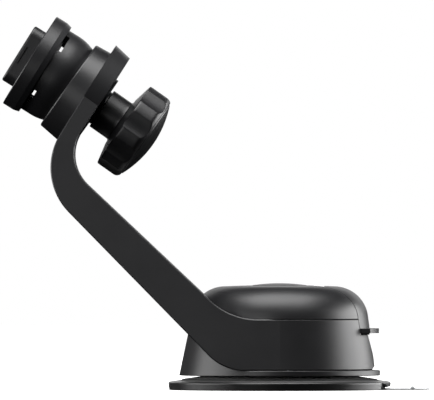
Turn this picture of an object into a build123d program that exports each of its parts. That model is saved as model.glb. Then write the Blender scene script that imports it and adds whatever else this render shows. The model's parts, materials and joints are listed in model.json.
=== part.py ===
from build123d import *
import os
from math import atan2, cos, degrees, radians, sin, tan

# A car phone mount: a suction base with a lever, a wide arm that rises from a ring around
# the base, and a clamped ball head that carries a twist-lock connector for the phone case.
# Millimetres, +Z up, origin on the base axis in the plane of the cup's sole.
# The lever opens at +X, and the arm leans towards -X.

os.makedirs("parts", exist_ok=True)

# ---- driving dimensions ------------------------------------------------------------
# base, all about the Z axis
cup_radius = 39.0
cup_rim_top = 3.1
pad_radius = 36.5
pad_thickness = 1.0
pad_lift = 3.4              # how far the lever lifts the middle of the cup when it is closed
tab_end_x = 52.5
tab_half_width = 5.0
housing_bottom = 5.05
flange_radius = 35.2
flange_top = 7.0
flange_start_x = -12.1      # behind this the skirt runs straight down
core_radius = 28.3          # the housing's tube, inside the arm's ring
core_wall = 2.2
deck_bottom = 14.0          # the floor across the tube that guides the plunger
deck_top = 16.0
seam_height = 24.92         # top of the arm's ring, where the cover begins
seam_radius = 31.1
side_draft = 7.6            # degrees from vertical of the ring's, cover's and arm's sides
cover_wall = 2.0
cover_corner_radius = 11.9
cover_corner_centre = (19.15, 24.4)
cover_crown = 36.72

# lever
lever_half_width = 14.5
slot_gap = 0.3
lever_edge_radius = 0.4
slot_rear_x = 11.9
hinge_x = 15.5
hinge_z = 31.8
barrel_radius = 3.3
crank_length = 4.5
crank_angle = 170.0         # degrees from +X towards +Z, lever closed
lever_bottom = 21.4
lip_bottom = 19.95
lip_radius = 34.8
lip_start_x = 28.1
rib_height = 0.5
rib_length = 3.0
rib_half_width = 12.0

# plunger
stem_radius = 4.0
plunger_foot_radius = 11.0
plunger_foot_bottom = 6.4
beam_half_width = 3.0

# arm, in side view
arm_bottom = 7.1
arm_bore_radius = 28.6
outer_bend_radius = 22.2
inner_bend_radius = 14.35
outer_foot_radius = 17.6
inner_foot_radius = 24.3
outer_slope = 44.4          # degrees from vertical of the arm's outer face
inner_slope = 46.6
arm_skin = 2.4
arm_edge_break = 0.35

# head: two axes through the ball's centre, both rising towards -X
ball_centre = Vector(-78.65, 0, 110.06)
head_angle = 32.0           # degrees above -X: axis of the ball, collar and connector
socket_angle = 35.1         # axis of the socket ring, bolt and knob
plate_back_angle = 33.2
ball_radius = 16.05
ball_wall = 2.2
running_gap = 0.3
plate_distance = 12.59      # ball centre to the arm's front face, along the head axis
plate_thickness = 6.1
plate_end_reach = 21.2        # from the socket axis to the far end, at the front face
plate_end_half_width = 20.1
plate_end_draft = 8.5
bolt_radius = 2.5
connector_side = 22.16
connector_front = 14.95
collar_front = 10.36
collar_end = 4.0
collar_radius = 17.85
flange_low = 3.5            # the connector's own flange, screwed inside the ball shell
flange_high = 5.3

# knob, distances from the ball's centre along the socket axis
hub_radius = 7.57
hub_start = 20.05
rim_start = 29.75
rim_end = 38.75
knob_radius = 16.5
cap_radius = 14.6
cap_crest = 42.0
lobes = 9

# ---- frames of reference -----------------------------------------------------------
head_dir = Vector(-cos(radians(head_angle)), 0, sin(radians(head_angle)))
socket_dir = Vector(-cos(radians(socket_angle)), 0, sin(radians(socket_angle)))
towards_side = (0, -1, 0)
base_axis = Axis.Z
head_axis = Axis(ball_centre, head_dir)
plate_up = Vector(sin(radians(head_angle)), 0, cos(radians(head_angle)))
socket_up = Vector(sin(radians(socket_angle)), 0, cos(radians(socket_angle)))
socket_axis = Axis(ball_centre, socket_dir)
# section planes: x runs along the axis towards the phone, y is the radius
head_section = Plane(origin=ball_centre, x_dir=head_dir, z_dir=towards_side)
socket_section = Plane(origin=ball_centre, x_dir=socket_dir, z_dir=towards_side)
# the same section seen from the knob: x is the radius, y runs away from the phone
knob_section = Plane(origin=ball_centre, x_dir=socket_up, z_dir=(0, 1, 0))
# face planes: z runs along the axis towards the phone
head_face = Plane(origin=ball_centre, x_dir=towards_side, z_dir=head_dir)
socket_face = Plane(origin=ball_centre, x_dir=towards_side, z_dir=socket_dir)


def polar(radius, degrees):
    """A point at this radius and angle from the x axis of a sketch."""
    return (radius * cos(radians(degrees)), radius * sin(radians(degrees)))


def on_ball(radius, degrees):
    """A section point on a sphere about the ball's centre, this far round from the bottom."""
    return (-radius * cos(radians(degrees)), radius * sin(radians(degrees)))


def dome_arc(edge, crest):
    """The arc of a shallow dome in a section whose axis is x = 0, from its edge to its crest."""
    rise = crest[1] - edge[1]
    ball = (edge[0] ** 2 + rise**2) / (2 * rise)
    centre_height = crest[1] - ball
    start = degrees(atan2(edge[1] - centre_height, edge[0]))
    return CenterArc((0, centre_height), ball, start, 90 - start)


def side_radius(height):
    """Radius of the drafted side of the ring and cover at this height."""
    return seam_radius - (height - seam_height) * tan(radians(side_draft))


# ---- suction cup and its gel pad ---------------------------------------------------
cup_sole_inner = cup_radius - 2.1
cup_middle = 12.0
with BuildPart() as suction_cup:
    with BuildSketch(Plane.XZ):
        Polygon(
            (0, pad_thickness + pad_lift),
            (cup_middle, pad_thickness + pad_lift),
            (cup_sole_inner, pad_thickness),
            (cup_sole_inner, 0),
            (cup_radius - 0.4, 0),
            (cup_radius, cup_rim_top - 0.5),
            (cup_radius - 0.5, cup_rim_top),
            (34.9, 3.75),
            (34.5, 3.65),
            (34.1, 3.9),
            (27.1, 4.9),
            (cup_middle, plunger_foot_bottom),
            (0, plunger_foot_bottom),
            align=None,
        )
    revolve(axis=base_axis)
    # the way out for the pull tab
    with BuildSketch(Plane.XY):
        with Locations((cup_radius, 0)):
            Rectangle(6, 2 * tab_half_width + 1)
    extrude(amount=1.4, mode=Mode.SUBTRACT)

with BuildPart() as gel_pad:
    with BuildSketch(Plane.XZ):
        Polygon(
            (0, pad_lift),
            (cup_middle, pad_lift),
            (33.0, 0),
            (pad_radius, 0),
            (pad_radius, pad_thickness),
            (cup_middle, pad_thickness + pad_lift),
            (0, pad_thickness + pad_lift),
            align=None,
        )
    revolve(axis=base_axis)
    # pull tab with a rounded end and a rib for the fingers
    tab_start_x = 34.0
    with BuildSketch(Plane.XY):
        with Locations(((tab_start_x + tab_end_x - 2) / 2, 0)):
            Rectangle(tab_end_x - 2 - tab_start_x, 2 * tab_half_width)
        with Locations((tab_end_x - tab_half_width, 0)):
            Circle(tab_half_width)
        with Locations((tab_end_x, 0)):
            Rectangle(4, 4 * tab_half_width, align=(Align.MIN, Align.CENTER), mode=Mode.SUBTRACT)
    extrude(amount=0.9)
    with BuildSketch(Plane.XY):
        with Locations((46.75, 0)):
            RectangleRounded(1.5, 2 * tab_half_width + 1, 0.7)
    extrude(amount=1.6)

# ---- housing -----------------------------------------------------------------------
bush_radius = 7.5
post_radius = 2.6
post_places = [(5.5, 20.5), (5.5, -20.5), (-15.5, 15.0), (-15.5, -15.0)]
ring_screw_places = [polar(30.9, a) for a in (28, -28, 84, -84)]


def flat(vector):
    """A sketch point from a vector."""
    return (vector.X, vector.Y)


def foot_line(gap):
    """The arm's outer face low down, moved off it by this gap: a point and a direction."""
    along = Vector(sin(radians(outer_slope)), -cos(radians(outer_slope)))
    away = Vector(-cos(radians(outer_slope)), -sin(radians(outer_slope)))
    return Vector(-53.79, 41.94) + away * gap, along


def cross_point(line_a, line_b):
    """Where two lines meet, each given as a point and a direction."""
    (p, u), (q, v) = line_a, line_b
    t = ((q.X - p.X) * v.Y - (q.Y - p.Y) * v.X) / (u.X * v.Y - u.Y * v.X)
    return p + u * t


def flange_outline(edge):
    """Whether an edge is the flange's outermost circle, top or bottom."""
    reach = Vector((edge @ 0.5).X, (edge @ 0.5).Y).length
    return edge.geom_type == GeomType.CIRCLE and abs(reach - flange_radius) < 0.01


with BuildPart() as base_housing:
    # the rear skirt: a cone that fills the space under the arm's foot
    with BuildSketch(Plane.XZ):
        Polygon(
            (core_radius - core_wall, housing_bottom),
            (flange_radius, housing_bottom),
            (32.0, 19.9),
            (core_radius - core_wall, 19.9),
            align=None,
        )
    revolve(axis=base_axis)
    # room for the arm: its foot line, and everything in front of it, above the flange
    skirt_gap = 0.12
    corner = cross_point(foot_line(skirt_gap), (Vector(0, flange_top), Vector(1, 0)))
    top_point, along = foot_line(skirt_gap)
    with BuildSketch(Plane.XZ):
        with BuildLine():
            FilletPolyline(
                flat(top_point),
                flat(corner),
                (60, flange_top),
                radius=outer_foot_radius,
            )
            Polyline((60, flange_top), (60, 60), flat(top_point))
        make_face()
    extrude(amount=60, both=True, mode=Mode.SUBTRACT)
    # the tube inside the arm's ring
    with BuildSketch(Plane.XY.offset(housing_bottom)):
        Circle(core_radius)
    extrude(amount=seam_height - 0.1 - housing_bottom)
    with BuildSketch(Plane.XY.offset(housing_bottom)):
        Circle(core_radius - core_wall)
    extrude(amount=30, mode=Mode.SUBTRACT)
    # a round flange, a finger's width of the tube cut away under the lever
    with BuildSketch(Plane.XY.offset(housing_bottom)):
        Circle(flange_radius)
        Circle(core_radius - 0.5, mode=Mode.SUBTRACT)
        with Locations((flange_start_x, 0)):
            Rectangle(60, 80, align=(Align.MAX, Align.CENTER), mode=Mode.SUBTRACT)
    extrude(amount=flange_top - housing_bottom)
    fillet(base_housing.edges().filter_by(flange_outline), 0.3)
    with BuildSketch(Plane.XY.offset(19.2)):
        with Locations((core_radius, 0)):
            Rectangle(10, 2 * (lever_half_width + slot_gap))
    extrude(amount=10, mode=Mode.SUBTRACT)
    # the deck with its guide bush
    with BuildSketch(Plane.XY.offset(deck_bottom)):
        Circle(core_radius - core_wall + 0.2)
    extrude(amount=deck_top - deck_bottom)
    with BuildSketch(Plane.XY.offset(deck_top)):
        Circle(bush_radius)
    extrude(amount=3.5)
    with BuildSketch(Plane.XY.offset(deck_bottom)):
        Circle(stem_radius + 0.06)
        with Locations(*post_places):
            Circle(1.3)
    extrude(amount=10, mode=Mode.SUBTRACT)
    # holes for the screws that hold the arm
    with BuildSketch(Plane.XY.offset(housing_bottom)):
        with Locations(*ring_screw_places):
            Circle(1.55)
    extrude(amount=3, mode=Mode.SUBTRACT)
    with BuildSketch(Plane.XY.offset(housing_bottom)):
        with Locations(*ring_screw_places):
            Circle(2.75)
    extrude(amount=0.9, mode=Mode.SUBTRACT)

# ---- cover -------------------------------------------------------------------------


def cover_section(inset, bottom):
    """Face under the cover's outer line, moved inwards by this inset, down to a height."""
    r = cover_corner_radius - inset
    cx, cz = cover_corner_centre
    low = (cx + r * cos(radians(side_draft)), cz + r * sin(radians(side_draft)))
    crown = cover_crown - inset
    top = (cx, cz + r)
    foot = (low[0] + (low[1] - bottom) * tan(radians(side_draft)), bottom)
    outline = Wire(
        [
            Line((0, bottom), (0, crown)),
            ThreePointArc((0, crown), (cx / 2, (3 * crown + top[1]) / 4), top),
            CenterArc((cx, cz), r, side_draft, 90 - side_draft),
            Line(low, foot),
            Line(foot, (0, bottom)),
        ]
    )
    return Plane.XZ * Face(outline)


cover_form = revolve(cover_section(0, seam_height + 0.12), base_axis, 360)
handle_form = revolve(cover_section(0, lever_bottom), base_axis, 360)
lever_form = revolve(cover_section(0, 10), base_axis, 360)
cover_hollow = revolve(cover_section(cover_wall, 10), base_axis, 360)
cover_room = revolve(cover_section(-0.3, seam_height), base_axis, 360)
disc_radius = 9.4
disc_edge = 36.7
disc_crest = 37.38
boss_outer = 18.6
spigot_bottom = 22.4
with BuildPart() as dome_cover:
    add(cover_form)
    add(cover_hollow, mode=Mode.SUBTRACT)
    # a spigot that drops into the housing's tube
    with BuildSketch(Plane.XY.offset(spigot_bottom)):
        Circle(core_radius - core_wall - 0.1)
        Circle(core_radius - core_wall - 1.9, mode=Mode.SUBTRACT)
    extrude(amount=seam_height + 1.0 - spigot_bottom)
    with BuildSketch(Plane.XY.offset(seam_height + 0.12)):
        Circle(29.2)
        Circle(core_radius - core_wall - 1.9, mode=Mode.SUBTRACT)
    extrude(amount=1.4)
    # screw posts from the crown down to the deck, and bosses for the lever's hinge pin
    with BuildSketch(Plane.XY.offset(deck_top)):
        with Locations(*post_places):
            Circle(post_radius)
    extrude(amount=17.5)
    with BuildSketch(Plane.XY.offset(hinge_z - 2.4)):
        for side in (1, -1):
            with Locations((hinge_x, side * (lever_half_width + slot_gap + boss_outer) / 2)):
                Rectangle(5.6, boss_outer - lever_half_width - slot_gap)
    extrude(amount=4.6)
    # the slot that the lever closes, open at the front
    with BuildSketch(Plane.XY.offset(10)):
        with Locations((slot_rear_x, 0)):
            Rectangle(30, 2 * (lever_half_width + slot_gap), align=(Align.MIN, Align.CENTER))
    extrude(amount=40, mode=Mode.SUBTRACT)
    with BuildSketch(Plane.XZ):
        with Locations((hinge_x, hinge_z)):
            Circle(1.3)
    extrude(amount=boss_outer - 0.5, both=True, mode=Mode.SUBTRACT)
    with BuildSketch(Plane.XY.offset(deck_top)):
        with Locations(*post_places):
            Circle(1.05)
    extrude(amount=10, mode=Mode.SUBTRACT)
    # seat for the disc on the crown
    with BuildSketch(Plane.XY.offset(36.05)):
        Circle(disc_radius + 0.1)
    extrude(amount=4, mode=Mode.SUBTRACT)

with BuildPart() as crown_disc:
    with BuildSketch(Plane.XZ):
        with BuildLine():
            Polyline((0, disc_crest), (0, 36.08), (disc_radius, 36.08), (disc_radius, disc_edge))
            dome_arc((disc_radius, disc_edge), (0, disc_crest))
        make_face()
    revolve(axis=base_axis)

# ---- lever and its pins ------------------------------------------------------------
crank_x, crank_z = [c + o for c, o in zip((hinge_x, hinge_z), polar(crank_length, crank_angle))]
crank_pin_radius = 0.9
hinge_pin_radius = 1.25
with BuildPart() as lever:
    # the handle: a strip of the cover's own shell, longer than the cover
    add(handle_form)
    with BuildSketch(Plane.XY):
        with Locations((hinge_x + 0.3, 0)):
            Rectangle(30, 2 * lever_half_width, align=(Align.MIN, Align.CENTER))
    extrude(amount=60, mode=Mode.INTERSECT)
    sides = lever.edges().filter_by(lambda edge: abs(abs((edge @ 0.5).Y) - lever_half_width) < 0.01)
    fillet(sides.filter_by(GeomType.LINE, reverse=True), lever_edge_radius)
    add(cover_hollow, mode=Mode.SUBTRACT)
    # the hinge barrel, and two crank cheeks inside
    with BuildSketch(Plane.XZ):
        with Locations((hinge_x, hinge_z)):
            Circle(barrel_radius)
    extrude(amount=lever_half_width - 0.3, both=True)
    with BuildSketch(Plane.XZ):
        across_x, across_z = polar(1, crank_angle + 90)
        Polygon(
            (hinge_x + across_x * 3.1, hinge_z + across_z * 3.1),
            (crank_x + across_x * 1.9, crank_z + across_z * 1.9),
            (crank_x - across_x * 1.9, crank_z - across_z * 1.9),
            (hinge_x - across_x * 3.1, hinge_z - across_z * 3.1),
            align=None,
        )
        with Locations((crank_x, crank_z)):
            Circle(1.9)
    extrude(amount=6.0, both=True)
    # a web from the barrel into the crown of the handle
    with BuildSketch(Plane.XZ):
        Polygon((15.8, 31), (19.6, 31), (22.5, 34.6), (15.8, 35.6), align=None)
    extrude(amount=lever_half_width - 0.3, both=True)
    add(lever_form, mode=Mode.INTERSECT)
    # a lip for the finger, with a rib under it that closes the notch in the ring
    with BuildSketch(Plane.XY.offset(lip_bottom)):
        with Locations((lip_start_x, 0)):
            Rectangle(10, 2 * lever_half_width, align=(Align.MIN, Align.CENTER))
        Circle(lip_radius, mode=Mode.INTERSECT)
    extrude(amount=lever_bottom - lip_bottom + 0.2)
    with BuildSketch(Plane.XY.offset(lip_bottom - rib_height)):
        with Locations((lip_start_x + 0.3, 0)):
            Rectangle(rib_length, 2 * rib_half_width, align=(Align.MIN, Align.CENTER))
    extrude(amount=rib_height + 0.5)
    with BuildSketch(Plane.XZ):
        Rectangle(30, 2 * barrel_radius + 8)
        with Locations((hinge_x - 8.0, hinge_z - 2)):
            Rectangle(24.0, 12.0)
    extrude(amount=beam_half_width + 0.4, both=True, mode=Mode.SUBTRACT)
    with BuildSketch(Plane.XZ):
        with Locations((hinge_x, hinge_z)):
            Circle(hinge_pin_radius + 0.05)
        with Locations((crank_x, crank_z)):
            Circle(crank_pin_radius + 0.02)
    extrude(amount=20, both=True, mode=Mode.SUBTRACT)

with BuildPart() as hinge_pin:
    with BuildSketch(Plane.XZ):
        with Locations((hinge_x, hinge_z)):
            Circle(hinge_pin_radius)
    extrude(amount=boss_outer - 0.6, both=True)

with BuildPart() as crank_pin:
    with BuildSketch(Plane.XZ):
        with Locations((crank_x, crank_z)):
            Circle(crank_pin_radius)
    extrude(amount=5.8, both=True)

# ---- plunger, its spring and the small screws --------------------------------------
with BuildPart() as plunger:
    with BuildSketch(Plane.XY.offset(plunger_foot_bottom)):
        Circle(plunger_foot_radius)
    extrude(amount=1.6)
    with BuildSketch(Plane.XY.offset(plunger_foot_bottom)):
        Circle(stem_radius)
    extrude(amount=23)
    with BuildSketch(Plane.XZ):
        Polygon(
            (-5, 27.5),
            (9.6, 27.5),
            (13.6, 30.6),
            (13.6, 34.4),
            (9.2, 34.4),
            (7.6, 31),
            (-5, 31),
            align=None,
        )
    extrude(amount=beam_half_width, both=True)
    # the slot that the crank pin slides in
    with BuildSketch(Plane.XZ):
        with Locations((11.4, crank_z)):
            SlotOverall(3.04, 2 * (crank_pin_radius + 0.15))
    extrude(amount=10, both=True, mode=Mode.SUBTRACT)

spring_low = plunger_foot_bottom + 1.6
with BuildPart() as return_spring:
    wire = 1.1
    with BuildLine() as coil:
        Helix(
            pitch=1.5,
            height=deck_bottom - spring_low - wire,
            radius=6.2,
            center=(0, 0, spring_low + wire / 2),
        )
    with BuildSketch(Plane(origin=coil.line @ 0, z_dir=coil.line % 0)):
        Circle(wire / 2)
    sweep(is_frenet=True)

with BuildPart() as cover_screws:
    with BuildSketch(Plane.XY.offset(deck_bottom - 1.5)):
        with Locations(*post_places):
            Circle(2.2)
    extrude(amount=1.5)
    with BuildSketch(Plane.XY.offset(deck_bottom - 1.5)):
        with Locations(*post_places):
            Circle(1.0)
    extrude(amount=10.5)

with BuildPart() as ring_screws:
    with BuildSketch(Plane.XY.offset(housing_bottom + 0.05)):
        with Locations(*ring_screw_places):
            Circle(2.6)
    extrude(amount=0.8)
    with BuildSketch(Plane.XY.offset(housing_bottom + 0.05)):
        with Locations(*ring_screw_places):
            Circle(1.2)
    extrude(amount=8)

# ---- arm ---------------------------------------------------------------------------
plate_point = ball_centre - head_dir * plate_distance
plate_line = (
    Vector(plate_point.X, plate_point.Z),
    Vector(sin(radians(head_angle)), cos(radians(head_angle))),
)
back_point = ball_centre - head_dir * (plate_distance + plate_thickness)
back_line = (
    Vector(back_point.X, back_point.Z),
    Vector(sin(radians(plate_back_angle)), cos(radians(plate_back_angle))),
)
outer_line = foot_line(0)
inner_line = (Vector(-48.77, 54.66), Vector(sin(radians(inner_slope)), -cos(radians(inner_slope))))


def inset_line(line, distance):
    """The line moved into the arm: to its right, looking along a line that climbs."""
    point, along = line
    if along.Y < 0:
        along = along * -1
    return point + Vector(along.Y, -along.X) * distance, along


def side_block(inset):
    """The drafted cone about the base axis, and the wedge behind it, both moved in."""
    low, high = side_radius(0) - inset, side_radius(130) - inset
    base_up = (Align.CENTER, Align.CENTER, Align.MIN)
    cone = Cone(low, side_radius(40) - inset, 40, align=base_up)
    wedge = Plane.YZ * Polygon((-low, 0), (low, 0), (high, 130), (-high, 130), align=None)
    return cone + extrude(wedge, -115)


def behind(front_line, lower_line, bend, below, before):
    """A prism of everything on the outer side of two lines joined by a bend.

    It is cut off this far below the socket along the plate, and ahead of this X.
    """
    top = front_line[0] + front_line[1] * 40
    corner = cross_point(front_line, lower_line)
    low = cross_point(lower_line, (Vector(before, 0), Vector(0, 1)))
    edge = FilletPolyline(flat(top), flat(corner), flat(low), radius=bend)
    rest = Polyline(flat(low), (low.X, -10), (-120, -10), (-120, 140), flat(top))
    whole = extrude(Plane.XZ * make_face([edge, rest]), 60, both=True)
    head_side = Plane(
        origin=ball_centre - head_dir * plate_distance - plate_up * below,
        x_dir=towards_side,
        z_dir=plate_up,
    )
    return split(whole, bisect_by=head_side, keep=Keep.BOTTOM)


def side_outline(edge):
    """Whether an edge runs round one of the arm's sides, below the plate's far end."""
    middle = edge.center()
    on_side = edge.geom_type == GeomType.CIRCLE or abs(middle.Y) > 15
    return on_side and abs(middle.X) > 1 and middle.Z < 125


end_top = plate_line[0] + plate_line[1] * 40
arm_sides = side_block(0)
with BuildPart() as arm_body:
    corner_low = cross_point(outer_line, (Vector(0, arm_bottom), Vector(1, 0)))
    corner_bend = cross_point(plate_line, outer_line)
    corner_inner = cross_point(back_line, inner_line)
    corner_seam = cross_point(inner_line, (Vector(0, seam_height), Vector(1, 0)))
    back_top = back_line[0] + back_line[1] * 40
    with BuildSketch(Plane.XZ):
        with BuildLine():
            FilletPolyline(
                flat(end_top),
                flat(corner_bend),
                flat(corner_low),
                (36, arm_bottom),
                radius=[outer_bend_radius, outer_foot_radius],
            )
            FilletPolyline(
                (36, seam_height),
                flat(corner_seam),
                flat(corner_inner),
                flat(back_top),
                radius=[inner_foot_radius, inner_bend_radius],
            )
            Line(flat(end_top), flat(back_top))
            Line((36, arm_bottom), (36, seam_height))
        make_face()
    extrude(amount=40, both=True)
    add(arm_sides, mode=Mode.INTERSECT)
    chamfer(arm_body.edges().filter_by(side_outline), arm_edge_break)

# the rounded end of the plate, about the socket axis, drafted towards the back
end_outline_start = -10
with BuildPart() as plate_end:
    with BuildSketch(socket_face.offset(end_outline_start)):
        Ellipse(plate_end_half_width, plate_end_reach)
    extrude(amount=end_outline_start - 2, taper=plate_end_draft)
    with BuildSketch(socket_section):
        Rectangle(300, 300, align=(Align.CENTER, Align.MIN))
    extrude(amount=45, both=True)

ring_hole_places = [polar(14.3, a) for a in (45, 135, 225, 315)]
cavity_start = 20.5         # below the socket axis, along the plate
panel_start = 19.0
cavity_end = -36.0          # X
panel_end = -34.6
rear_gap = 0.12
cavity_form = behind(
    inset_line(back_line, -arm_skin),
    inset_line(inner_line, -arm_skin),
    inner_bend_radius + arm_skin,
    cavity_start,
    cavity_end,
)
rebate_form = behind(
    inset_line(plate_line, arm_skin),
    inset_line(outer_line, arm_skin),
    outer_bend_radius - arm_skin,
    panel_start,
    panel_end,
)
under_rebate = behind(
    inset_line(plate_line, arm_skin - rear_gap),
    inset_line(outer_line, arm_skin - rear_gap),
    outer_bend_radius - arm_skin + rear_gap,
    panel_start + rear_gap,
    panel_end - rear_gap,
)
arm_cavity = cavity_form & side_block(4.4)
panel_rebate = rebate_form & side_block(3.0)
panel_form = under_rebate & side_block(3.0 + rear_gap)
socket_floor = 16.4
washer_start = 18.3
with BuildPart() as arm:
    add(arm_body.part)
    add(plate_end.part, mode=Mode.INTERSECT)
    # the bore for the housing, and room for the cover above it
    with BuildSketch(Plane.XY):
        Circle(arm_bore_radius)
    extrude(amount=seam_height, mode=Mode.SUBTRACT)
    add(cover_room, mode=Mode.SUBTRACT)
    # a finger notch and scoop under the lever's lip
    with BuildSketch(Plane.XY.offset(19.3)):
        with Locations((20, 0)):
            Rectangle(30, 2 * (lever_half_width + slot_gap), align=(Align.MIN, Align.CENTER))
    extrude(amount=20, mode=Mode.SUBTRACT)
    with BuildSketch(Plane.XZ):
        Polygon((30.85, 19.4), (32.83, 12.1), (38, 12.1), (38, 19.4), align=None)
    extrude(amount=lever_half_width + slot_gap, both=True, mode=Mode.SUBTRACT)
    # the hollow of the arm and the rebate for its rear panel
    add(panel_rebate, mode=Mode.SUBTRACT)
    add(arm_cavity, mode=Mode.SUBTRACT)
    # the dish behind the ball, the bolt hole with its square neck, and the washer's seat
    with BuildSketch(socket_section):
        with BuildLine():
            Line((0, 0), (-socket_floor, 0))
            CenterArc((0, 0), socket_floor, 90, 90)
            Line((0, socket_floor), (0, 0))
        make_face()
    revolve(axis=socket_axis, mode=Mode.SUBTRACT)
    with BuildSketch(socket_face.offset(-washer_start)):
        Circle(11.5)
    extrude(amount=-6, mode=Mode.SUBTRACT)
    with BuildSketch(socket_face.offset(-12)):
        Rectangle(5.6, 5.6)
    extrude(amount=-10, mode=Mode.SUBTRACT)
    # holes for the screws that hold the socket ring
    with BuildSketch(socket_face.offset(-10)):
        with Locations(*ring_hole_places):
            Circle(1.3)
    extrude(amount=-12, mode=Mode.SUBTRACT)
    with BuildSketch(socket_face.offset(-17)):
        with Locations(*ring_hole_places):
            Circle(2.4)
    extrude(amount=-6, mode=Mode.SUBTRACT)
    # holes for the screws that come up through the housing's flange
    with BuildSketch(Plane.XY):
        with Locations(*ring_screw_places):
            Circle(1.25)
    extrude(amount=14, mode=Mode.SUBTRACT)

with BuildPart() as arm_rear_panel:
    add(arm_body.part)
    add(panel_form, mode=Mode.INTERSECT)

# ---- socket ring and its liner -----------------------------------------------------
seat_radius = ball_radius + running_gap
liner_outer = seat_radius + 0.8
ring_face = -5.67
ring_cone = tan(radians(6.1))
ring_face_radius = 17.03
with BuildPart() as socket_ring:
    with BuildSketch(socket_section):
        with BuildLine():
            face_edge = (ring_face, (seat_radius**2 - ring_face**2) ** 0.5)
            ThreePointArc(face_edge, on_ball(seat_radius, 68), on_ball(seat_radius, 66))
            Line(on_ball(seat_radius, 66), on_ball(liner_outer, 66))
            ThreePointArc(on_ball(liner_outer, 66), on_ball(liner_outer, 56), on_ball(liner_outer, 46))
            Line(on_ball(liner_outer, 46), on_ball(seat_radius, 46))
            ThreePointArc(on_ball(seat_radius, 46), on_ball(seat_radius, 44), on_ball(seat_radius, 42))
            back_edge = (-17, ring_face_radius + (17 + ring_face) * ring_cone)
            rim_edge = (ring_face - 0.6, ring_face_radius + 0.6 * ring_cone)
            front_edge = (ring_face, ring_face_radius - 0.6)
            Polyline(on_ball(seat_radius, 42), (-17, on_ball(seat_radius, 42)[1]), back_edge, rim_edge)
            ThreePointArc(rim_edge, (ring_face - 0.17, ring_face_radius - 0.17), front_edge)
            Line(front_edge, face_edge)
        make_face()
    revolve(axis=socket_axis)
    split(bisect_by=Plane(origin=plate_point, z_dir=head_dir), keep=Keep.TOP)
    with BuildSketch(socket_face.offset(-20)):
        with Locations(*ring_hole_places):
            Circle(1.05)
    extrude(amount=8.7, mode=Mode.SUBTRACT)

with BuildPart() as socket_liner:
    with BuildSketch(socket_section):
        with BuildLine():
            Line(on_ball(seat_radius, 65.6), on_ball(liner_outer - 0.03, 65.6))
            ThreePointArc(
                on_ball(liner_outer - 0.03, 65.6),
                on_ball(liner_outer - 0.03, 56),
                on_ball(liner_outer - 0.03, 46.4),
            )
            Line(on_ball(liner_outer - 0.03, 46.4), on_ball(seat_radius, 46.4))
            ThreePointArc(on_ball(seat_radius, 46.4), on_ball(seat_radius, 56), on_ball(seat_radius, 65.6))
        make_face()
    revolve(axis=socket_axis)

with BuildPart() as socket_screws:
    with BuildSketch(socket_face.offset(-11.4)):
        with Locations(*ring_hole_places):
            Circle(1.0)
    extrude(amount=-6.4)
    with BuildSketch(socket_face.offset(-17.1)):
        with Locations(*ring_hole_places):
            Circle(2.1)
    extrude(amount=-1.1)

# ---- ball, clamp washers and bolt --------------------------------------------------
shell_inner = ball_radius - ball_wall
shell_top = 7.5
window_low = 2.35
with BuildPart() as ball_shell:
    with BuildSketch(head_section):
        with BuildLine():
            Polyline((0, ball_radius), (shell_top, ball_radius), (shell_top, shell_inner), (0, shell_inner))
            ThreePointArc((0, shell_inner), on_ball(shell_inner, 60), on_ball(shell_inner, 38))
            Line(on_ball(shell_inner, 38), on_ball(ball_radius, 38))
            ThreePointArc(on_ball(ball_radius, 38), on_ball(ball_radius, 60), (0, ball_radius))
        make_face()
    revolve(axis=head_axis)
    boss_places = [polar(11.9, a) for a in (0, 90, 180, 270)]
    with BuildSketch(head_face.offset(-1.2)):
        with Locations(*boss_places):
            Circle(2.1)
    extrude(amount=flange_low + 1.2)
    with BuildSketch(head_face.offset(-1.2)):
        with Locations(*boss_places):
            Circle(0.95)
    extrude(amount=6, mode=Mode.SUBTRACT)
    # windows that the collar's hooks slide in
    with BuildSketch(head_face.offset(window_low)):
        for a in (45, 135, 225, 315):
            Polygon((0, 0), polar(20, a - 15), polar(20, a + 15), align=None)
    extrude(amount=3.7, mode=Mode.SUBTRACT)

with BuildPart() as clamp_cup:
    cup_outer = shell_inner - running_gap
    cup_inner = cup_outer - 1.35
    with BuildSketch(head_section):
        with BuildLine():
            ThreePointArc(on_ball(cup_outer, 34), on_ball(cup_outer, 43), on_ball(cup_outer, 52))
            Line(on_ball(cup_outer, 52), on_ball(cup_inner, 52))
            ThreePointArc(on_ball(cup_inner, 52), on_ball(cup_inner, 43), on_ball(cup_inner, 34))
            Line(on_ball(cup_inner, 34), on_ball(cup_outer, 34))
        make_face()
    revolve(axis=head_axis)

with BuildPart() as slotted_washer:
    washer_outer = cup_inner - running_gap
    washer_inner = washer_outer - 1.5
    with BuildSketch(head_section):
        with BuildLine():
            Line((-washer_outer, 0), (-washer_inner, 0))
            CenterArc((0, 0), washer_inner, 132, 48)
            Line(on_ball(washer_inner, 48), on_ball(washer_outer, 48))
            CenterArc((0, 0), washer_outer, 132, 48)
        make_face()
    revolve(axis=head_axis)
    # long in the plane that the ball tilts in first
    with BuildSketch(head_face):
        SlotOverall(12.4, 2 * bolt_radius + 0.6, rotation=90)
    extrude(amount=-20, mode=Mode.SUBTRACT)

with BuildPart() as clamp_bolt:
    bolt_seat = washer_inner - running_gap
    with BuildSketch(socket_section):
        with BuildLine():
            Polyline((-33, 0), (-5.5, 0), (-5.5, 4.6), (-5.95, bolt_seat / 2), on_ball(bolt_seat, 30))
            ThreePointArc(
                on_ball(bolt_seat, 30),
                on_ball(bolt_seat, 22),
                (-((bolt_seat**2 - bolt_radius**2) ** 0.5), bolt_radius),
            )
            Polyline(
                (-((bolt_seat**2 - bolt_radius**2) ** 0.5), bolt_radius),
                (-32.5, bolt_radius),
                (-33, bolt_radius - 0.5),
                (-33, 0),
            )
        make_face()
    revolve(axis=socket_axis)
    with BuildSketch(socket_face.offset(-16.6)):
        RectangleRounded(5.4, 5.4, 0.6)
    extrude(amount=-1.6)

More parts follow.
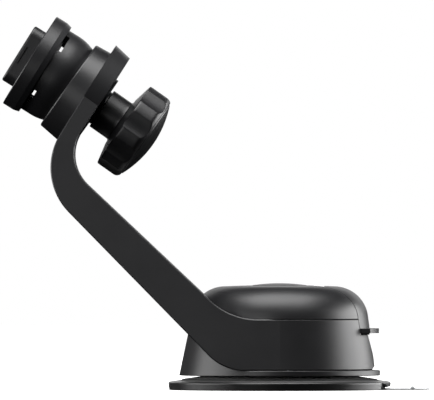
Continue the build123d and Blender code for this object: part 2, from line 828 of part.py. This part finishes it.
# ---- connector and collar ----------------------------------------------------------
neck_radius = 7.0
lock_groove_width = 0.5
lock_groove_depth = 1.2
with BuildPart() as connector:
    with BuildSketch(head_face.offset(collar_front + 0.1)):
        RectangleRounded(connector_side, connector_side, 4.0)
    extrude(amount=connector_front - collar_front - 0.1)
    fillet(connector.faces().sort_by(head_axis)[-1].edges(), radius=0.7)
    # a round dish in the front and a lock groove in each side
    with BuildSketch(head_face.offset(connector_front)):
        Circle(6.2)
    extrude(amount=-1.2, mode=Mode.SUBTRACT)
    with BuildSketch(head_face.offset(12.9)):
        with PolarLocations(connector_side / 2, 4):
            Rectangle(2 * lock_groove_depth, 6.6)
    extrude(amount=lock_groove_width, mode=Mode.SUBTRACT)
    with BuildSketch(head_face.offset(flange_high - 0.1)):
        Circle(neck_radius)
    extrude(amount=collar_front + 0.3 - flange_high)
    with BuildSketch(head_face.offset(flange_low)):
        Circle(shell_inner - 0.25)
        with Locations(*boss_places):
            Circle(1.2, mode=Mode.SUBTRACT)
    extrude(amount=flange_high - flange_low)

with BuildPart() as connector_screws:
    with BuildSketch(head_face.offset(-0.9)):
        with Locations(*boss_places):
            Circle(0.9)
    extrude(amount=flange_high + 1.0)
    with BuildSketch(head_face.offset(flange_high)):
        with Locations(*boss_places):
            Circle(1.8)
    extrude(amount=1.3)

web_low = 8.9
collar_bore = ball_radius + running_gap
hook_low = 4.2
hook_thickness = 1.6
with BuildPart() as lock_collar:
    with BuildSketch(head_section):
        Polygon(
            (collar_front, neck_radius + 0.3),
            (collar_front, collar_radius - 0.25),
            (collar_front - 0.25, collar_radius),
            (5.99, collar_radius),
            (collar_end, 17.36),
            (collar_end, collar_bore),
            (web_low, collar_bore),
            (web_low, neck_radius + 0.3),
            align=None,
        )
    revolve(axis=head_axis)
    # four hooks that reach into the windows, hidden by the skirt until the collar is pressed
    with BuildSketch(head_face.offset(hook_low)):
        for a in (45, 135, 225, 315):
            Polygon((0, 0), polar(20, a - 14.4), polar(20, a + 14.4), align=None)
        Circle(collar_bore + 0.4, mode=Mode.INTERSECT)
        Circle(15.1, mode=Mode.SUBTRACT)
    extrude(amount=hook_thickness)

with BuildPart() as collar_spring:
    collar_wire = 0.8
    with BuildLine() as collar_coil:
        Helix(
            pitch=1.35,
            height=web_low - flange_high - collar_wire,
            radius=8.3,
            center=ball_centre + head_dir * (flange_high + collar_wire / 2),
            direction=head_dir,
        )
    with BuildSketch(Plane(origin=collar_coil.line @ 0, z_dir=collar_coil.line % 0)):
        Circle(collar_wire / 2)
    sweep(is_frenet=True)

# ---- knob --------------------------------------------------------------------------
with BuildPart() as back_washer:
    with BuildSketch(socket_face.offset(-washer_start)):
        Circle(11.3)
        Circle(bolt_radius + 0.15, mode=Mode.SUBTRACT)
    extrude(amount=-1.0)

with BuildPart() as thrust_washer:
    with BuildSketch(socket_face.offset(-(washer_start + 1.05))):
        Circle(6.6)
        Circle(bolt_radius + 0.1, mode=Mode.SUBTRACT)
    extrude(amount=-0.65)

nut_flats = 8.0
nut_start = hub_start + 1.0
nut_height = 4.0
with BuildPart() as knob_body:
    with BuildSketch(socket_section):
        Polygon(
            (-hub_start, bolt_radius + 0.3),
            (-hub_start, hub_radius - 0.25),
            (-hub_start - 0.25, hub_radius),
            (-27.3, hub_radius),
            (-27.75, hub_radius + 0.45),
            (-28.1, hub_radius + 1.5),
            (-rim_start + 0.15, knob_radius - 0.4),
            (-rim_start - 0.25, knob_radius),
            (-rim_end + 1.35, knob_radius),
            (-rim_end, knob_radius - 1.2),
            (-rim_end, cap_radius + 0.1),
            (-rim_end + 2.2, cap_radius + 0.1),
            (-rim_end + 2.2, 6.0),
            (-nut_start - nut_height, 6.0),
            (-nut_start - nut_height, bolt_radius + 0.3),
            align=None,
        )
    revolve(axis=socket_axis)
    # nine shallow hollows between the lobes: tips are 17 degrees wide, hollows 23 degrees
    with BuildSketch(socket_face.offset(-rim_start + 3)):
        for i in range(lobes):
            with Locations(polar(26.7, 29 + i * 360 / lobes)):
                Circle(11.1)
    extrude(amount=-15, mode=Mode.SUBTRACT)
    with BuildSketch(socket_face.offset(-nut_start)):
        RegularPolygon(nut_flats / 2 + 0.03, 6, major_radius=False)
    extrude(amount=-6, mode=Mode.SUBTRACT)

with BuildPart() as knob_nut:
    with BuildSketch(socket_face.offset(-nut_start)):
        RegularPolygon(nut_flats / 2, 6, major_radius=False)
        Circle(bolt_radius + 0.05, mode=Mode.SUBTRACT)
    extrude(amount=-nut_height)

with BuildPart() as knob_cap:
    cap_edge = 39.06
    with BuildSketch(knob_section):
        with BuildLine():
            Polyline(
                (0, cap_crest),
                (0, rim_end - 2.2),
                (cap_radius, rim_end - 2.2),
                (cap_radius, cap_edge - 0.3),
                (cap_radius - 0.3, cap_edge),
            )
            dome_arc((cap_radius - 0.3, cap_edge), (0, cap_crest))
        make_face()
    revolve(axis=socket_axis)

# ---- labels and files --------------------------------------------------------------
suction_cup.part.label = "suction_cup"
gel_pad.part.label = "gel_pad"
base_housing.part.label = "base_housing"
dome_cover.part.label = "dome_cover"
crown_disc.part.label = "crown_disc"
lever.part.label = "lever"
hinge_pin.part.label = "hinge_pin"
crank_pin.part.label = "crank_pin"
plunger.part.label = "plunger"
return_spring.part.label = "return_spring"
cover_screws.part.label = "cover_screws"
ring_screws.part.label = "ring_screws"
arm.part.label = "arm"
arm_rear_panel.part.label = "arm_rear_panel"
socket_ring.part.label = "socket_ring"
socket_liner.part.label = "socket_liner"
socket_screws.part.label = "socket_screws"
ball_shell.part.label = "ball_shell"
clamp_cup.part.label = "clamp_cup"
slotted_washer.part.label = "slotted_washer"
clamp_bolt.part.label = "clamp_bolt"
connector.part.label = "connector"
connector_screws.part.label = "connector_screws"
lock_collar.part.label = "lock_collar"
collar_spring.part.label = "collar_spring"
back_washer.part.label = "back_washer"
thrust_washer.part.label = "thrust_washer"
knob_body.part.label = "knob_body"
knob_nut.part.label = "knob_nut"
knob_cap.part.label = "knob_cap"

pieces = [
    suction_cup, gel_pad, base_housing, dome_cover, crown_disc, lever, hinge_pin, crank_pin,
    plunger, return_spring, cover_screws, ring_screws, arm, arm_rear_panel, socket_ring,
    socket_liner, socket_screws, ball_shell, clamp_cup, slotted_washer, clamp_bolt, connector,
    connector_screws, lock_collar, collar_spring, back_washer, thrust_washer, knob_body,
    knob_nut, knob_cap,
]
for piece in pieces:
    export_step(piece.part, f"parts/{piece.part.label}.step")
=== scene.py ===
"""The looks of a car phone mount: its moulded, rubber and gel pieces, on a pale studio floor.

Metres, +Z up, origin on the suction base's axis in the plane of its sole. The lever opens at +X
and the arm leans towards -X.
"""

import json
from math import cos, pi, radians, sin

import bmesh
import bpy
import numpy as np
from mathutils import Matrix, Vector


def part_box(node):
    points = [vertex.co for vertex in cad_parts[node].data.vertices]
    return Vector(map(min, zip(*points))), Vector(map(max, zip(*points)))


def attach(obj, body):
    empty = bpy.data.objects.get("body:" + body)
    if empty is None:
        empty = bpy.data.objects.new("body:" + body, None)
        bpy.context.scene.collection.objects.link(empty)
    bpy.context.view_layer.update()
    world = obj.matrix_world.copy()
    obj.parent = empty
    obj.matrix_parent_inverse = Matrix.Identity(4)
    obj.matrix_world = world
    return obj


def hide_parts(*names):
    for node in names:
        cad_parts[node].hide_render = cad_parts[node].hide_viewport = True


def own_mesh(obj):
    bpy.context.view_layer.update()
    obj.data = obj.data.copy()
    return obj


MM = 0.001

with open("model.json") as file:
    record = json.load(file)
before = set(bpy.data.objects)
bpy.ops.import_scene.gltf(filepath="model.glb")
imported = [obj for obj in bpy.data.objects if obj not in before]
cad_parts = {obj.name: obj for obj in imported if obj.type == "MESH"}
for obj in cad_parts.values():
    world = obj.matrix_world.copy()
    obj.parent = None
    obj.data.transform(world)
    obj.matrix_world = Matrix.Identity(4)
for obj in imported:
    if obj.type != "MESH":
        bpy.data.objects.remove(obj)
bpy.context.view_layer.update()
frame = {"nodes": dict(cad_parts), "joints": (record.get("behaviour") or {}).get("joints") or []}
scene = bpy.context.scene


# ---- colour and nodes ------------------------------------------------------------------


def linear(hex_code, alpha=1.0):
    """An sRGB hex colour as linear red, green, blue and alpha."""
    parts = [int(hex_code[i : i + 2], 16) / 255 for i in (1, 3, 5)]
    flat = [c / 12.92 if c <= 0.04045 else ((c + 0.055) / 1.055) ** 2.4 for c in parts]
    return (*flat, alpha)


def add(tree, kind, settings=(), values=(), links=()):
    """One node with its settings, its socket values, and the links that arrive at it."""
    node = tree.nodes.new(kind)
    for name, value in dict(settings).items():
        setattr(node, name, value)
    for socket, value in dict(values).items():
        node.inputs[socket].default_value = value
    for socket, source in dict(links).items():
        tree.links.new(source, node.inputs[socket])
    return node


def new_material(name):
    """An empty material with its output node."""
    material = bpy.data.materials.new(name)
    material.use_nodes = True
    material.node_tree.nodes.clear()
    output = material.node_tree.nodes.new("ShaderNodeOutputMaterial")
    return material, material.node_tree, output


def moulded_abs(name, colour, roughness, grain=0.32, depth=0.006):
    """ABS from a spark-eroded mould: satin, with a fine even grain and a faint worn sheen.

    The grain is a noise whose cells are as wide as the mould's texture, in millimetres, and a
    second noise, a few centimetres wide, shifts the gloss where hands have polished it.
    """
    material, tree, output = new_material(name)
    place = add(tree, "ShaderNodeTexCoord").outputs["Object"]
    pits = add(
        tree,
        "ShaderNodeTexNoise",
        values={"Scale": 1 / (grain * MM), "Detail": 2.0, "Roughness": 0.55},
        links={"Vector": place},
    )
    polish = add(
        tree,
        "ShaderNodeTexNoise",
        values={"Scale": 1 / (22 * MM), "Detail": 3.0, "Roughness": 0.6},
        links={"Vector": place},
    )
    gloss = add(
        tree,
        "ShaderNodeMapRange",
        values={
            "From Min": 0.3,
            "From Max": 0.7,
            "To Min": roughness - 0.035,
            "To Max": roughness + 0.035,
        },
        links={"Value": polish.outputs["Fac"]},
    )
    relief = add(
        tree,
        "ShaderNodeBump",
        values={"Strength": 0.6, "Distance": depth * MM},
        links={"Height": pits.outputs["Fac"]},
    )
    shader = add(
        tree,
        "ShaderNodeBsdfPrincipled",
        values={"Base Color": linear(colour), "IOR": 1.53},
        links={"Roughness": gloss.outputs["Result"], "Normal": relief.outputs["Normal"]},
    )
    tree.links.new(shader.outputs[0], output.inputs["Surface"])
    return material


def rubber(name, colour, roughness, grain=0.4, depth=0.008):
    """Moulded rubber: matt, a little uneven, with a soft bloom at grazing angles."""
    material, tree, output = new_material(name)
    place = add(tree, "ShaderNodeTexCoord").outputs["Object"]
    skin = add(
        tree,
        "ShaderNodeTexNoise",
        values={"Scale": 1 / (grain * MM), "Detail": 3.0, "Roughness": 0.6},
        links={"Vector": place},
    )
    relief = add(
        tree,
        "ShaderNodeBump",
        values={"Strength": 0.5, "Distance": depth * MM},
        links={"Height": skin.outputs["Fac"]},
    )
    shader = add(
        tree,
        "ShaderNodeBsdfPrincipled",
        values={
            "Base Color": linear(colour),
            "Roughness": roughness,
            "IOR": 1.52,
            "Sheen Weight": 0.15,
            "Sheen Roughness": 0.5,
        },
        links={"Normal": relief.outputs["Normal"]},
    )
    tree.links.new(shader.outputs[0], output.inputs["Surface"])
    return material


def gel(name, colour, roughness, see_through=0.5):
    """Polyurethane gel: pale, partly see-through and a little cloudy, with a wet shine."""
    material, tree, output = new_material(name)
    place = add(tree, "ShaderNodeTexCoord").outputs["Object"]
    cloud = add(
        tree,
        "ShaderNodeTexNoise",
        values={"Scale": 1 / (4 * MM), "Detail": 3.0, "Roughness": 0.5},
        links={"Vector": place},
    )
    relief = add(
        tree,
        "ShaderNodeBump",
        values={"Strength": 0.3, "Distance": 0.02 * MM},
        links={"Height": cloud.outputs["Fac"]},
    )
    shader = add(
        tree,
        "ShaderNodeBsdfPrincipled",
        values={
            "Base Color": linear(colour),
            "Roughness": roughness,
            "IOR": 1.45,
            "Alpha": see_through,
        },
        links={"Normal": relief.outputs["Normal"]},
    )
    tree.links.new(shader.outputs[0], output.inputs["Surface"])
    return material


def metal(name, colour, roughness, metallic=1.0):
    """Drawn or turned metal: fine streaks of uneven gloss from its making."""
    material, tree, output = new_material(name)
    place = add(tree, "ShaderNodeTexCoord").outputs["Object"]
    streak = add(
        tree,
        "ShaderNodeTexNoise",
        values={"Scale": 1 / (0.6 * MM), "Detail": 2.0},
        links={"Vector": place},
    )
    gloss = add(
        tree,
        "ShaderNodeMapRange",
        values={"To Min": roughness - 0.06, "To Max": roughness + 0.06},
        links={"Value": streak.outputs["Fac"]},
    )
    shader = add(
        tree,
        "ShaderNodeBsdfPrincipled",
        values={"Base Color": linear(colour), "Metallic": metallic},
        links={"Roughness": gloss.outputs["Result"]},
    )
    tree.links.new(shader.outputs[0], output.inputs["Surface"])
    return material


black_abs = moulded_abs("black_satin_abs", "#161618", 0.42)
knob_abs = moulded_abs("knob_satin_abs", "#101012", 0.4)
inner_pom = moulded_abs("inner_dark_acetal", "#2b2b2d", 0.35)
cup_rubber = rubber("cup_moulded_rubber", "#0a0a0b", 0.33, depth=0.003)
liner = rubber("liner_soft_rubber", "#1b1c1d", 0.6)
clear_gel = gel("pad_clear_gel", "#b9bcbe", 0.3, see_through=0.85)
spring_steel = metal("drawn_spring_steel", "#b9bbbd", 0.3)
black_steel = metal("blackened_steel", "#2a2b2c", 0.45)
cast_alloy = metal("cast_alloy", "#9c9da0", 0.5)
brass = metal("turned_brass", "#c8a457", 0.3)

finishes = {
    "black_moulding": black_abs,
    "knob_moulding": knob_abs,
    "inner_moulding": inner_pom,
    "cup_rubber": cup_rubber,
    "liner_rubber": liner,
    "clear_gel": clear_gel,
    "steel": spring_steel,
    "black_steel": black_steel,
    "cast_metal": cast_alloy,
    "brass": brass,
}
for node in frame["nodes"].values():
    for held in node.material_slots:
        held.material = finishes[held.name.split(".")[0]]

# ---- surfaces --------------------------------------------------------------------------
sharp_angle = radians(32)


def skin(name, grid, material, slot_name):
    """A closed mesh over a grid of points in millimetres, whose first and last rows may meet.

    Each point joins its neighbours in both directions in a four-sided face, and points in the
    same place become one, which closes seams and poles. Faces are then turned outwards.
    """
    rows, columns = grid.shape[:2]
    index = np.arange(rows * columns).reshape(rows, columns)
    faces = np.stack([index[:-1, :-1], index[1:, :-1], index[1:, 1:], index[:-1, 1:]], -1)
    mesh = bpy.data.meshes.new(name)
    mesh.from_pydata((grid.reshape(-1, 3) * MM).tolist(), [], faces.reshape(-1, 4).tolist())
    shell = bmesh.new()
    shell.from_mesh(mesh)
    bmesh.ops.remove_doubles(shell, verts=shell.verts, dist=1e-7)
    bmesh.ops.dissolve_degenerate(shell, edges=shell.edges, dist=1e-8)
    bmesh.ops.recalc_face_normals(shell, faces=shell.faces)
    shell.to_mesh(mesh)
    shell.free()
    mesh.shade_smooth()
    mesh.set_sharp_from_angle(angle=sharp_angle)
    mesh.materials.append(material)
    piece = bpy.data.objects.new(name, mesh)
    scene.collection.objects.link(piece)
    return piece


def rounded(corners, steps=6):
    """Points along a run of (across, up, rounding) corners, in millimetres.

    A corner with a rounding becomes the parabola (1-t)^2 A + 2t(1-t) C + t^2 B, where A and B lie
    that far from the corner C on its two sides.
    """
    places = np.array([c[:2] for c in corners], float)
    points = [places[0]]
    t = np.linspace(0, 1, steps)[:, None]
    for before, here, after, corner in zip(places, places[1:], places[2:], corners[1:]):
        cut = corner[2]
        if cut == 0:
            points.append(here)
            continue
        start = here + (before - here) / np.linalg.norm(before - here) * cut
        end = here + (after - here) / np.linalg.norm(after - here) * cut
        points.extend((1 - t) ** 2 * start + 2 * t * (1 - t) * here + t**2 * end)
    return np.array([*points, places[-1]])


def divided(section, longest):
    """The section with extra points, so that none of its steps is longer than this."""
    runs = []
    for start, end in zip(section, section[1:]):
        count = int(np.ceil(np.linalg.norm(end - start) / longest)) or 1
        runs.append(start + (end - start) * np.linspace(0, 1, count, endpoint=False)[:, None])
    return np.concatenate([*runs, section[-1:]])


def turned(section, angles):
    """The section turned about the Z axis: (r cos a, r sin a, z) for each point and angle."""
    r, z = section[:, :1], section[:, 1:]
    return np.stack([r * np.cos(angles), r * np.sin(angles), z + 0 * angles], -1)


def joint(name):
    """The frame's joint of this name."""
    return next(j for j in frame["joints"] if j["name"] == name)


def smooth_step(value, low, high):
    """0 below low, 1 above high, and 3t^2 - 2t^3 between them."""
    t = np.clip((value - low) / (high - low), 0, 1)
    return t * t * (3 - 2 * t)


# ---- suction cup and gel pad -----------------------------------------------------------
cup_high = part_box("suction_cup")[1] / MM
cup_radius = cup_high.x
crown_height = cup_high.z
middle_radius = 12                      # the part that the plunger presses
pocket_reach = 24                       # degrees each side of the tab
pocket_depth = 1.9
notch_height = 1.3


def cup_grid():
    """The cup turned from a section: a shallow crown, a step, a thick undercut rim and a hollow.

    A pocket for the pull tab is pressed into the rim at +X: within 24 degrees of the tab, and
    below a line that falls towards it, the wall moves inwards by up to the pocket's depth.
    """
    section = divided(
        rounded(
            [
                (0, crown_height, 0),
                (middle_radius, crown_height, 3.0),
                (27.1, 4.95, 5.0),
                (34.0, 3.95, 0.5),
                (34.5, 3.6, 0.2),
                (cup_radius - 0.75, 3.12, 0.35),
                (cup_radius, 2.6, 0.3),
                (cup_radius - 0.4, 0.1, 0.15),
                (cup_radius - 1.4, 0.0, 0.1),
                (cup_radius - 2.1, 1.0, 0.1),
                (middle_radius, 4.4, 3.0),
                (0, 4.4, 0),
            ]
        ),
        1.2,
    )
    wall = section[(section[:, 0] > cup_radius - 2) & (section[:, 1] < 3.2)]
    fine = divided(wall, 0.22)
    first = int(np.argmax((section == wall[0]).all(1)))
    section = np.concatenate([section[:first], fine, section[first + len(wall) :]])
    angles = np.linspace(-pi, pi, 541)
    grid = turned(section, angles)
    beside = np.abs(np.degrees(angles))[None, :]
    height = section[:, 1:]
    outer = smooth_step(section[:, :1], cup_radius - 1.6, cup_radius - 0.9)
    lid = 2.45 - 1.4 * smooth_step(pocket_reach - beside, 0, 14)
    below_lid = 1 - smooth_step(height, lid - 0.15, lid + 0.15)
    inside = smooth_step(pocket_reach - beside, 0, 0.8) * below_lid
    pull = 1 - pocket_depth * inside * outer / cup_radius
    grid[..., :2] *= pull[..., None]
    notch = (1 - smooth_step(np.abs(grid[..., 1]), 5.4, 6.0)) * (grid[..., 0] > 30)
    sole = section[:, 0] > cup_radius - 2.2
    raised = np.maximum(grid[..., 2], notch_height * notch)
    grid[..., 2] = np.where(sole[:, None] & (notch > 0), raised, grid[..., 2])
    return grid


cup = skin("rubber_cup", cup_grid(), cup_rubber, "cup_rubber")


def press_flat(piece):
    """Gives a soft piece its own copy of its mesh."""
    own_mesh(piece)


press_flat(cup)
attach(cup, "base")
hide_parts("suction_cup")

pad_section = rounded(
    [
        (0, 4.35, 0),
        (middle_radius, 4.35, 3.0),
        (36.3, 0.97, 0.4),
        (36.45, 0.05, 0.3),
        (33.0, 0.05, 1.0),
        (middle_radius, 3.4, 3.0),
        (0, 3.4, 0),
    ]
)
pad = skin("gel_disc", turned(pad_section, np.linspace(-pi, pi, 241)), clear_gel, "clear_gel")
press_flat(pad)
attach(pad, "base")
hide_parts("gel_pad")

tab_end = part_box("gel_pad")[1].x / MM
tab_start = 35.2
tab_half_width = 5.0
rib_x = 46.6


def tab_grid():
    """A flat tab along X: its outline narrows as half an ellipse at the end, its cross-section is
    a flat oval, and two ribs across it rise as bell curves, a tall one and a low bead at the tip."""
    along = np.linspace(0, 1, 161)[:, None]
    round_it = np.linspace(0, 2 * pi, 49)[None, :]
    x = tab_start + (tab_end - tab_start) * along
    end = smooth_step(x, tab_end - tab_half_width, tab_end)
    half_width = tab_half_width * np.sqrt(np.clip(1 - end**2 * 0.96, 0, 1))
    rib = np.exp(-(((x - rib_x) / 0.62) ** 4)) * 0.78
    bead = np.exp(-(((x - tab_end + 0.8) / 0.5) ** 2)) * 0.22
    half_height = 0.3 + (rib + bead) * 0.5
    middle = 0.36 + (rib + bead) * 0.5
    across = np.sign(np.cos(round_it)) * np.abs(np.cos(round_it)) ** 0.45
    up = np.sign(np.sin(round_it)) * np.abs(np.sin(round_it)) ** 0.45
    grid = np.stack(
        [x + 0 * round_it, half_width * across, middle + half_height * up], -1
    )
    grid[0] = grid[0].mean(0)
    grid[-1] = grid[-1].mean(0)
    return grid


tab = skin("pull_tab", tab_grid(), clear_gel, "clear_gel")
press_flat(tab)
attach(tab, "base")

# ---- clamp knob ------------------------------------------------------------------------
ball_centre = np.array(joint("head_tilt")["pos_m"]) / MM
knob_axis = np.array(joint("knob_turn")["axis"])
knob_axis = knob_axis if knob_axis[2] < 0 else -knob_axis
knob_up = np.cross(knob_axis, (0, -1, 0))
knob_side = np.cross(knob_axis, knob_up)
knob_radius = 16.5
hub_radius = 7.57
hub_start, rim_end = 20.05, 38.75       # distances from the ball's centre along the knob's axis
nut_start, nut_end = 21.0, 25.1
nut_corner = 4.72
bolt_hole = 2.8
seat_radius, seat_start = 14.7, 36.5    # the seat of the cap
pocket_radius = 6.0
lobes = 9
first_hollow = 61.0                     # degrees round the axis
hollow_centre, hollow_radius = 26.7, 11.1
lobe_softness = 0.05


def on_knob_axis(grid):
    """Points turned about Z, laid along the knob's axis from the ball's centre."""
    return (
        ball_centre
        + grid[..., :1] * knob_up
        + grid[..., 1:2] * knob_side
        + grid[..., 2:] * knob_axis
    )


def knob_grid():
    """A hub and a rim turned from one section, with nine hollows between the rim's lobes.

    At an angle p from a hollow's middle the outline is C cos p - sqrt(R^2 - C^2 sin^2 p), the near
    side of a circle of radius R centred C from the axis. A soft minimum of that and the section's
    own radius rounds the lobes' edges.
    """
    section = divided(
        rounded(
            [
                (bolt_hole, hub_start, 0),
                (hub_radius, hub_start, 0.35),
                (hub_radius, 28.0, 0.7),
                (9.2, 28.1, 0.5),
                (knob_radius, 29.65, 0.6),
                (knob_radius, 37.6, 1.0),
                (15.2, rim_end, 0.5),
                (seat_radius, rim_end - 0.03, 0.1),
                (seat_radius, seat_start, 0),
                (pocket_radius, seat_start, 0),
                (pocket_radius, nut_end, 0),
                (nut_corner, nut_end, 0),
                (nut_corner, nut_start, 0),
                (bolt_hole, nut_start, 0),
                (bolt_hole, hub_start, 0),
            ]
        ),
        0.8,
    )
    angles = np.linspace(0, 2 * pi, lobes * 64 + 1)
    hollow_middle = radians(first_hollow)
    turn = 2 * pi / lobes
    p = (angles - hollow_middle + turn / 2) % turn - turn / 2
    depth = np.clip(hollow_radius**2 - (hollow_centre * np.sin(p)) ** 2, 0, None)
    outline = hollow_centre * np.cos(p) - np.sqrt(depth)
    radius = section[:, :1]
    gap = (outline[None, :] - radius) / lobe_softness
    lowered = radius - lobe_softness * np.logaddexp(0, -gap)
    on_rim = radius > 12
    r = np.where(on_rim, lowered, radius)
    grid = np.stack(
        [r * np.cos(angles), r * np.sin(angles), section[:, 1:] + 0 * angles], -1
    )
    return on_knob_axis(grid)


knob = skin("lobed_knob", knob_grid(), knob_abs, "knob_moulding")
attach(knob, "knob")
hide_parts("knob_body")

# ---- collar spring ---------------------------------------------------------------------
head_axis = -np.array(joint("collar_press")["axis"])
head_axis /= np.linalg.norm(head_axis)
head_side = np.array((0.0, -1.0, 0.0))
head_up = np.cross(head_axis, head_side)
spring_start, spring_end = 5.33, 8.87
coil_radius, wire_radius, turns = 8.3, 0.4, 2.07


def spring_grid():
    """Round wire swept along a helix: r = R + w cos b, height rising with the turn, plus w sin b.

    Each end is closed by a row of points that all lie in the middle of the wire.
    """
    turned_by = np.linspace(0, 2 * pi * turns, 181)[:, None]
    round_it = np.linspace(0, 2 * pi, 17)[None, :]
    rise = (spring_end - spring_start - 2 * wire_radius) * turned_by / (2 * pi * turns)
    r = coil_radius + wire_radius * np.cos(round_it)
    along = spring_start + wire_radius + rise + wire_radius * np.sin(round_it)
    across = r * np.cos(turned_by)
    up = r * np.sin(turned_by)
    grid = (
        ball_centre
        + across[..., None] * head_side
        + up[..., None] * head_up
        + along[..., None] * head_axis
    )
    ends = grid[[0, -1], :-1].mean(1, keepdims=True) + 0 * grid[[0, -1]]
    return np.concatenate([ends[:1], grid, ends[1:]])


coil = skin("collar_coil", spring_grid(), spring_steel, "steel")
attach(coil, "head")
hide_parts("collar_spring")
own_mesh(coil)

# ---- studio ----------------------------------------------------------------------------
camera = bpy.data.objects.new("camera", bpy.data.cameras.new("camera"))
scene.collection.objects.link(camera)
camera.data.sensor_width = 36
camera.data.lens = 1400
seen_width = 151.9 * MM
distance = seen_width * camera.data.lens / camera.data.sensor_width
camera.location = (-21.9 * MM, -distance, 66.5 * MM)
camera.rotation_euler = (radians(90), 0, 0)
camera.data.clip_start, camera.data.clip_end = 0.5, 40
scene.camera = camera


def softbox(name, towards, size, watts, reach=1.2):
    """A rectangular soft light this far from the object, in this direction, aimed at it."""
    light = bpy.data.lights.new(name, "AREA")
    light.shape = "RECTANGLE"
    light.size, light.size_y = size
    light.energy = watts
    lamp = bpy.data.objects.new(name, light)
    scene.collection.objects.link(lamp)
    aim = Vector((-25 * MM, 0, 60 * MM))
    away = Vector(towards).normalized()
    lamp.location = aim + away * reach
    lamp.rotation_euler = away.to_track_quat("Z", "Y").to_euler()
    lamp.visible_camera = False
    return lamp


# one broad softbox overhead, a panel on each side, and weak panels in front and behind;
# each has a direction, a width and height in metres, and a share of the overhead one's power
overhead_watts = 30.0
softboxes = {
    "overhead": ((0, -0.25, 1), (1.4, 1.0), 1.0),
    "right_panel": ((1, 0.3, 0.1), (1.2, 0.8), 0.7),
    "left_panel": ((-1, -0.1, 0.1), (1.2, 0.8), 0.5),
    "front_fill": ((-0.5, -1, 0.1), (0.6, 0.6), 0.1),
    "back_panel": ((0, 1, 0.3), (1.4, 0.4), 0.08),
}
for name, (towards, size, share) in softboxes.items():
    softbox(name, towards, size, share * overhead_watts)

floor = bpy.data.objects.new("floor", bpy.data.meshes.new("floor"))
scene.collection.objects.link(floor)
floor_reach = 3.0
floor_corners = [(-1, -1), (1, -1), (1, 1), (-1, 1)]
floor.data.from_pydata([(x * floor_reach, y * floor_reach, 0) for x, y in floor_corners], [], [(0, 1, 2, 3)])
floor_material, floor_tree, floor_output = new_material("studio_floor")
floor_shader = add(
    floor_tree,
    "ShaderNodeBsdfPrincipled",
    values={
        "Base Color": linear("#f4f4f2"),
        "Roughness": 0.9,
        "Emission Color": (1, 1, 1, 1),
        "Emission Strength": 1.0,
    },
)
floor_tree.links.new(floor_shader.outputs[0], floor_output.inputs["Surface"])
floor.data.materials.append(floor_material)
floor.visible_diffuse = False
floor.visible_glossy = False

world = bpy.data.worlds.new("studio")
scene.world = world
world.use_nodes = True
world.node_tree.nodes.clear()
path = add(world.node_tree, "ShaderNodeLightPath")
room = add(world.node_tree, "ShaderNodeBackground", values={"Color": (1, 1, 1, 1), "Strength": 0.0})
paper = add(world.node_tree, "ShaderNodeBackground", values={"Color": (1, 1, 1, 1), "Strength": 1.0})
sky = add(
    world.node_tree,
    "ShaderNodeMixShader",
    links={0: path.outputs["Is Camera Ray"], 1: room.outputs[0], 2: paper.outputs[0]},
)
world_output = world.node_tree.nodes.new("ShaderNodeOutputWorld")
world.node_tree.links.new(sky.outputs[0], world_output.inputs["Surface"])

scene.view_settings.view_transform = "Standard"
